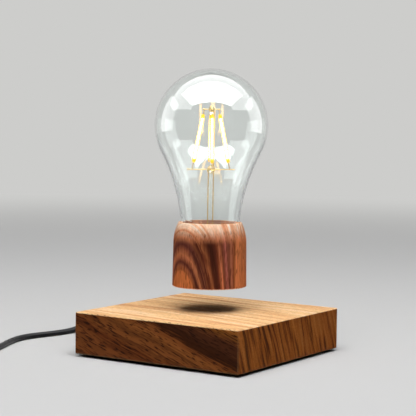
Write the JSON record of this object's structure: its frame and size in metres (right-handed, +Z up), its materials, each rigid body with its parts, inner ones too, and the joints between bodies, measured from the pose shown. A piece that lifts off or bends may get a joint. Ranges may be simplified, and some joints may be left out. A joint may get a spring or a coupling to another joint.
{
  "type": "levitating light bulb lamp",
  "caption": "Lamp with a clear filament bulb in a turned wooden cap that floats above a square wooden base, fed by a plug-in power lead.",
  "frame": {"origin": "on the table under the middle of the square base, level with the bottoms of its rubber feet", "axes": "+Z up along the floating bulb, +X away from the side of the base that holds the power socket"},
  "size_m": [0.2185, 0.1681, 0.1515],
  "materials": {
    "base_wood": "oiled wood with dark figure",
    "cap_wood": "turned and oiled wood with a striped figure",
    "black_plastic": "moulded, fine matt grain",
    "black_rubber": "soft matt",
    "steel": "plated",
    "magnet": "sintered, dull grey",
    "neodymium": "nickel plated",
    "nylon": "moulded, off white",
    "copper": "enamelled copper wire",
    "circuit_board": "green solder mask",
    "clear_glass": "clear blown glass",
    "phosphor": "glowing yellow phosphor",
    "brass": "plain"
  },
  "bodies": {
    "base": {"base_block": "base_wood", "base_cover": "black_plastic", "cover_screws": "steel", "base_feet": "black_rubber", "control_board": "circuit_board", "board_screws": "steel", "ring_magnet": "magnet", "coil_bobbins": "nylon", "coil_windings": "copper", "coil_cores": "steel", "hall_sensors": "black_plastic", "driver_chips": "black_plastic", "power_capacitors": "black_plastic", "transmit_coil": "copper", "coil_carrier": "nylon", "touch_pad": "brass", "touch_spring": "steel", "dc_jack": "black_plastic", "jack_pin": "steel"},
    "float": {"float_magnet": "neodymium"},
    "bulb": {"wood_cap": "cap_wood", "cap_disc": "black_plastic", "receive_former": "nylon", "receive_coil": "copper", "rectifier_board": "circuit_board", "rectifier_parts": "black_plastic", "glass_globe": "clear_glass", "glass_stem": "clear_glass", "neck_cement": "nylon", "lead_wires": "steel", "upper_supports": "steel", "lower_supports": "steel", "led_filaments": "phosphor", "filament_tails": "brass"},
    "power_lead": {"dc_plug": "black_plastic", "plug_barrel": "steel", "plug_relief": "black_rubber", "cord_lead": "black_rubber", "cord_coil": "black_rubber", "cord_tail": "black_rubber", "cord_tie": "black_rubber", "adapter_case": "black_plastic", "adapter_lid": "black_plastic", "adapter_pins": "brass", "adapter_relief": "black_rubber"}
  },
  "joints": [
    {"name": "bulb_lift", "type": "slide", "parent": "base", "child": "float", "axis": [0, 0, 1], "range_m": [-0.0127, 0.05], "stiffness_N_per_m": 150, "springref_m": 0.00617},
    {"name": "bulb_spin", "type": "hinge", "parent": "float", "child": "bulb", "pos_m": [0, 0, 0.0365], "axis": [0, 0, 1], "continuous": true},
    {"name": "plug_pull", "type": "slide", "parent": "base", "child": "power_lead", "axis": [-1, 0, 0], "range_m": [0, 0.018]}
  ]
}
